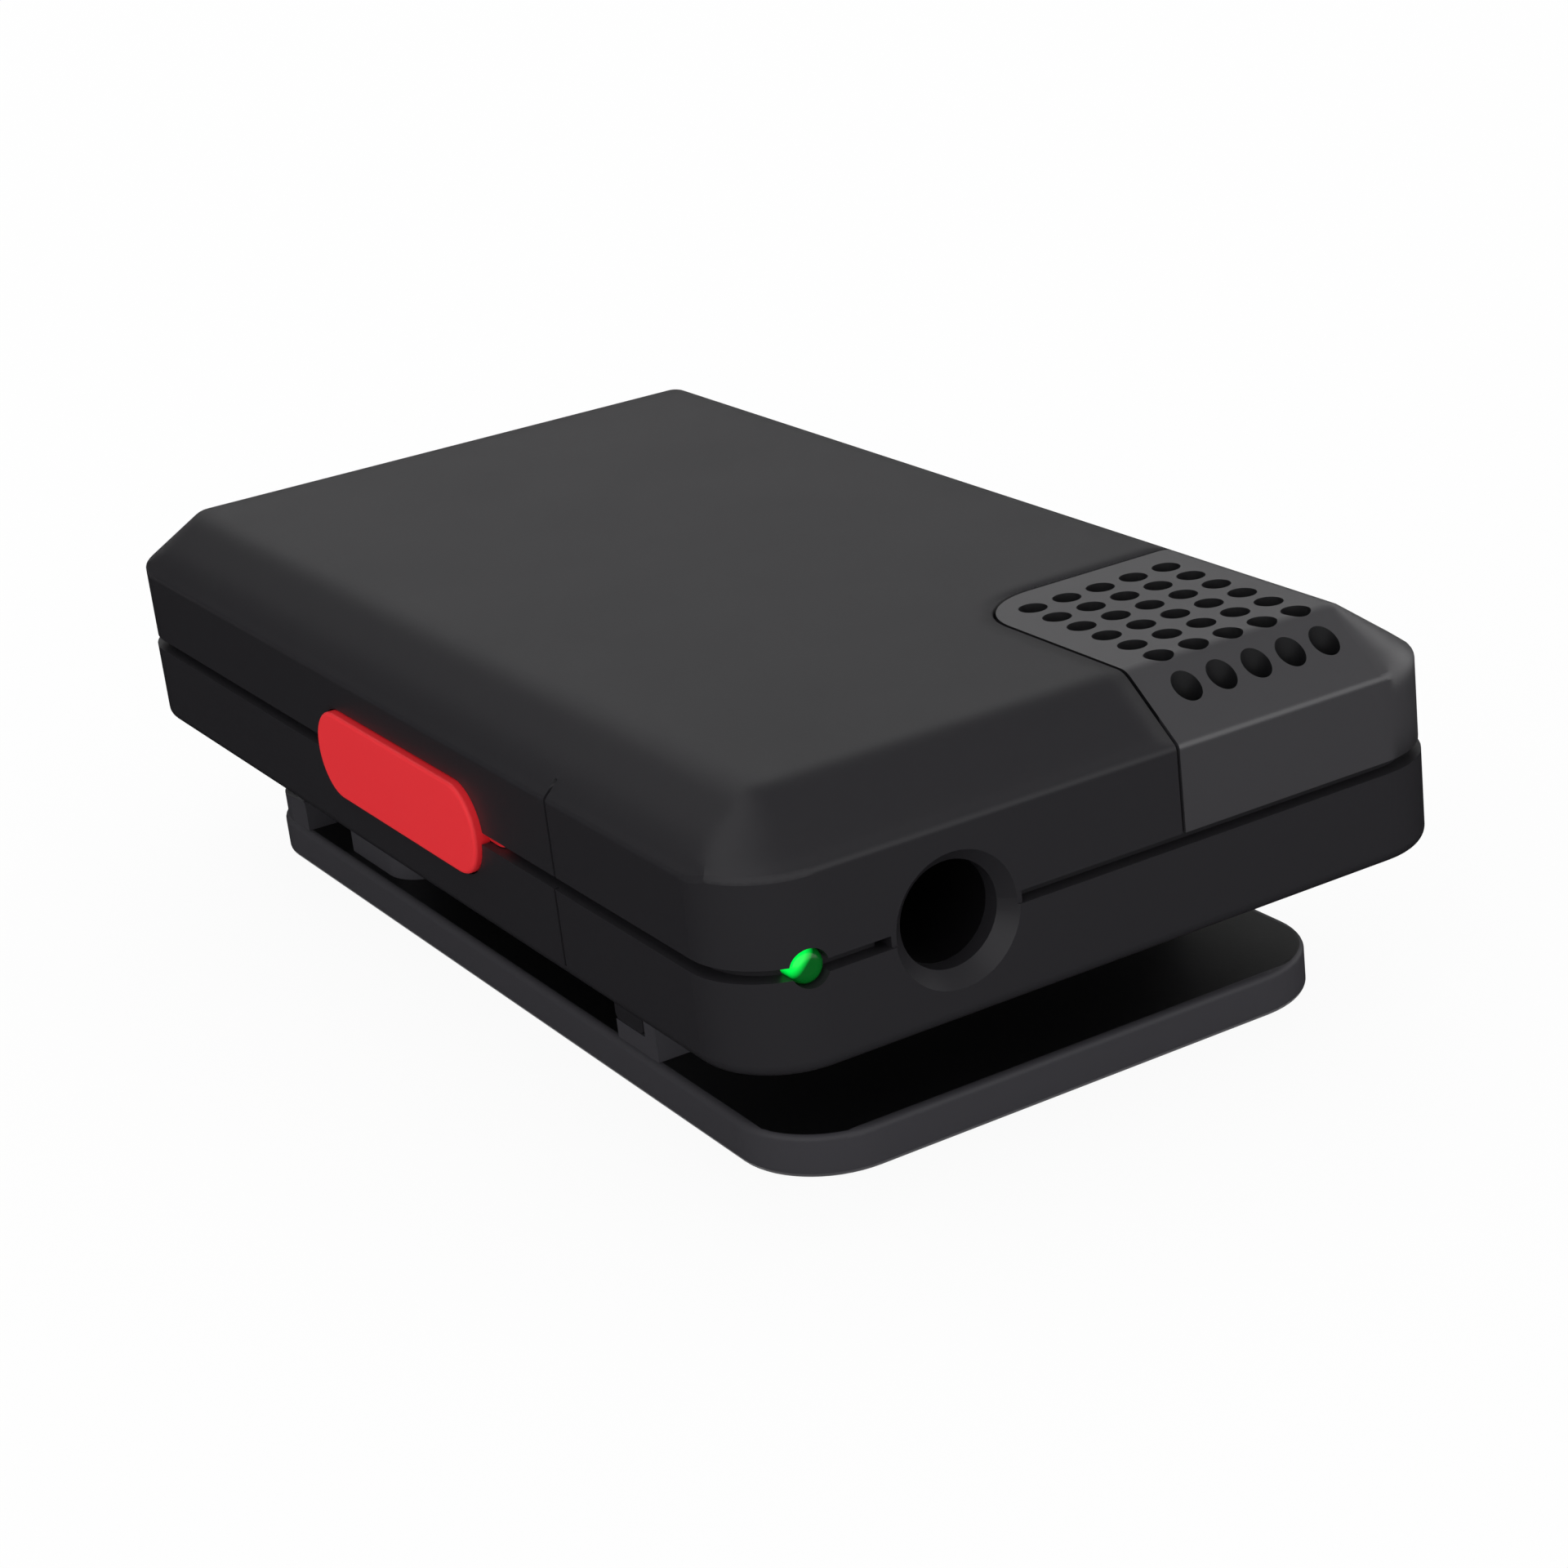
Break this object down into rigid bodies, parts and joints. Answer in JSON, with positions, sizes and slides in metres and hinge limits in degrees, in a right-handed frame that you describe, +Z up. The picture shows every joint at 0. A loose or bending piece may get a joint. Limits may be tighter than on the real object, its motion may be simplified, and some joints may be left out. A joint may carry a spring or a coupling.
{
  "type": "clip-on wireless lavalier microphone",
  "caption": "Black clip-on wireless lavalier microphone: chamfered two-shell case, perforated corner grille, red side button, 3.5 mm socket, status light and sprung back clip.",
  "frame": {"origin": "on the flat underside of the clip arm, below the middle of the case", "axes": "+Z up from the clip to the case's top face, -Y towards the end with the 3.5 mm socket, -X towards the side with the button"},
  "size_m": [0.0286, 0.051, 0.0144],
  "materials": {
    "case_plastic": "satin moulded",
    "clip_plastic": "satin moulded",
    "button_plastic": "satin red",
    "light_plastic": "clear green",
    "socket_plastic": "moulded",
    "white_plastic": "moulded",
    "steel": "plain",
    "tin": "plain",
    "brass": "plated",
    "screw_steel": "blackened",
    "mesh_fabric": "woven",
    "foam": "closed-cell",
    "boot_rubber": "matt",
    "capsule_metal": "plain",
    "board_green": "solder mask",
    "chip_black": "moulded",
    "ceramic": "plain",
    "battery_foil": "foil",
    "lead_rubber": "insulation"
  },
  "bodies": {
    "case": {"upper_shell": "case_plastic", "lower_shell": "case_plastic", "mic_grille": "case_plastic", "clip_base": "clip_plastic", "light_pipe": "light_plastic", "jack_socket": "socket_plastic", "usb_tongue": "socket_plastic", "battery_socket": "white_plastic", "tact_switch": "socket_plastic", "usb_shell": "steel", "radio_shield": "tin", "jack_contacts": "brass", "mic_pins": "brass", "hinge_pin": "steel", "clip_spring": "steel", "case_screws": "screw_steel", "clip_screws": "screw_steel", "mic_mesh": "mesh_fabric", "mic_gasket": "foam", "battery_tape": "foam", "mic_boot": "boot_rubber", "mic_capsule": "capsule_metal", "main_board": "board_green", "board_chips": "chip_black", "radio_chip": "chip_black", "antenna": "ceramic", "status_led": "ceramic", "battery": "battery_foil", "battery_leads": "lead_rubber"},
    "clip": {"clip_arm": "clip_plastic"},
    "button": {"side_button": "button_plastic", "switch_plunger": "white_plastic"}
  },
  "joints": [
    {"name": "clip_hinge", "type": "hinge", "parent": "clip", "child": "case", "pos_m": [0, 0.01073, 0.0033], "axis": [-1, 0, 0], "range_deg": [0, 15], "stiffness_Nm_per_rad": 0.1, "springref_deg": -28.65, "deforming": ["clip_spring"]},
    {"name": "button_press", "type": "slide", "parent": "case", "child": "button", "axis": [1, 0, 0], "range_m": [0, 0.0003], "stiffness_N_per_m": 600, "springref_m": -0.0005}
  ]
}
